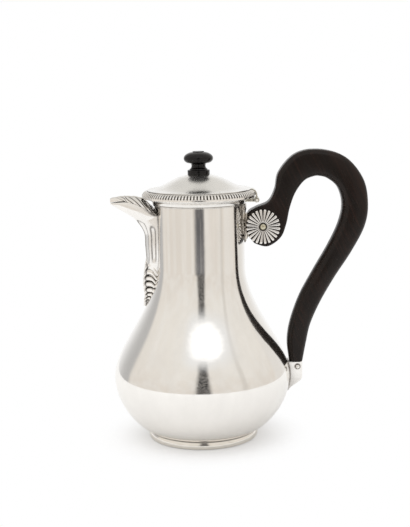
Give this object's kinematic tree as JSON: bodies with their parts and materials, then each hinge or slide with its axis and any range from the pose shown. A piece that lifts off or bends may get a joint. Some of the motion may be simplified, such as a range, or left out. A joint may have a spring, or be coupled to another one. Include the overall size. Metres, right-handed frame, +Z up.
{
  "type": "chocolate pot",
  "caption": "Pear-shaped silver chocolate pot on a ring foot, with a ribbed rim, a domed hinged lid, a covered beak spout and an S-shaped ebony handle held by fluted rosettes.",
  "frame": {"origin": "centre of the foot ring on the table, at mount base", "axes": "+Z up along the vessel's axis, which is the longest side; +X towards the handle, with the spout at -X; +Y across, the shortest side"},
  "size_m": [0.1773, 0.123, 0.2],
  "materials": {
    "silver": "polished sheet silver with fine wear marks",
    "cast_silver": "polished cast silver with dark tarnish in the grooves",
    "ebony": "satin, close straight grain",
    "rivet": "polished"
  },
  "bodies": {
    "pot": {"body": "silver", "foot_ring": "silver", "neck_collar": "silver", "rim_band": "cast_silver", "spout": "silver", "spout_cover": "cast_silver", "spout_leaf": "cast_silver", "hinge_lug": "silver", "hinge_pin": "silver", "handle": "ebony", "handle_mount": "cast_silver", "rosette_front": "cast_silver", "rosette_back": "cast_silver", "rosette_pin": "rivet", "lower_socket": "silver", "lower_pin": "silver"},
    "lid": {"lid": "silver", "lid_bezel": "silver", "lid_hinge_leaf": "silver", "knob": "ebony", "knob_stud": "silver", "knob_washer": "silver", "knob_nut": "silver"}
  },
  "joints": [
    {"name": "lid_hinge", "type": "hinge", "parent": "pot", "child": "lid", "pos_m": [0.0394, 0, 0.1665], "axis": [0, 1, 0], "range_deg": [0, 80]}
  ]
}
